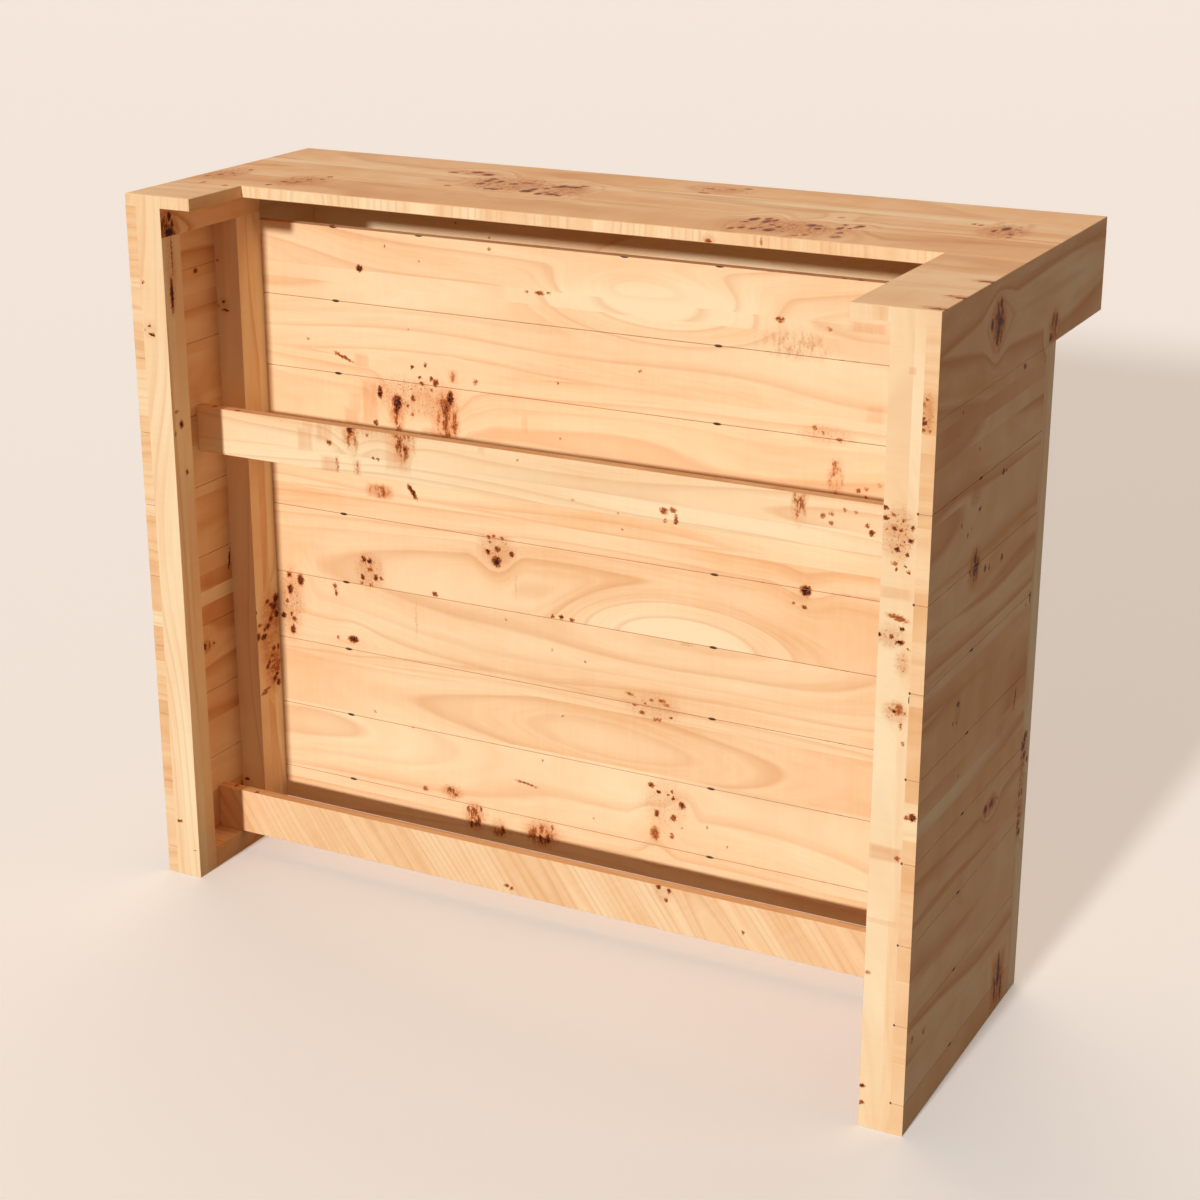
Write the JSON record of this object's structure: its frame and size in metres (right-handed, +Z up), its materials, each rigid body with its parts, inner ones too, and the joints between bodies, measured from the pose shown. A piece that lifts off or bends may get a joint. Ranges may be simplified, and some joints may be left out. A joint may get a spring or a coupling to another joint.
{
  "type": "garden bar",
  "caption": "Timber garden bar with an overhanging plank top, board-clad sides and front, two rails on the server's side and one side panel set back.",
  "frame": {"origin": "on the ground, under the middle of the bar's box", "axes": "+X to the server's right along the counter, +Y to the customer's side, +Z up"},
  "size_m": [1.3356, 0.6804, 1.1],
  "materials": {
    "board_wood": "planed knotty poplar, oiled",
    "top_wood": "planed knotty poplar, oiled",
    "frame_wood": "planed knotty poplar, oiled",
    "rail_wood": "planed knotty poplar, oiled",
    "dowel_wood": "turned beech",
    "steel": "zinc plated"
  },
  "bodies": {
    "root": {"batten_screws": "steel", "counter_plank_far": "top_wood", "counter_plank_middle": "top_wood", "counter_plank_near": "top_wood", "fascia": "rail_wood", "frame_dowels": "dowel_wood", "front_board_1": "board_wood", "front_board_2": "board_wood", "front_board_3": "board_wood", "front_board_4": "board_wood", "front_board_5": "board_wood", "front_board_6": "board_wood", "front_board_7": "board_wood", "front_board_8": "board_wood", "front_board_9": "board_wood", "front_nails": "steel", "left_apron": "rail_wood", "left_arm_plank": "top_wood", "left_batten": "frame_wood", "left_board_1": "board_wood", "left_board_2": "board_wood", "left_board_3": "board_wood", "left_board_4": "board_wood", "left_board_5": "board_wood", "left_board_6": "board_wood", "left_board_7": "board_wood", "left_board_8": "board_wood", "left_board_9": "board_wood", "left_bottom_rail": "frame_wood", "left_corner_trim": "rail_wood", "left_far_stile": "frame_wood", "left_near_stile": "frame_wood", "left_side_nails": "steel", "left_top_rail": "frame_wood", "lower_rail": "rail_wood", "mid_rail": "rail_wood", "middle_batten": "frame_wood", "right_apron": "rail_wood", "right_arm_plank": "top_wood", "right_batten": "frame_wood", "right_board_1": "board_wood", "right_board_2": "board_wood", "right_board_3": "board_wood", "right_board_4": "board_wood", "right_board_5": "board_wood", "right_board_6": "board_wood", "right_board_7": "board_wood", "right_board_8": "board_wood", "right_board_9": "board_wood", "right_bottom_rail": "frame_wood", "right_corner_trim": "rail_wood", "right_far_stile": "frame_wood", "right_near_stile": "frame_wood", "right_side_nails": "steel", "right_top_rail": "frame_wood", "top_screws": "steel"}
  },
  "joints": []
}
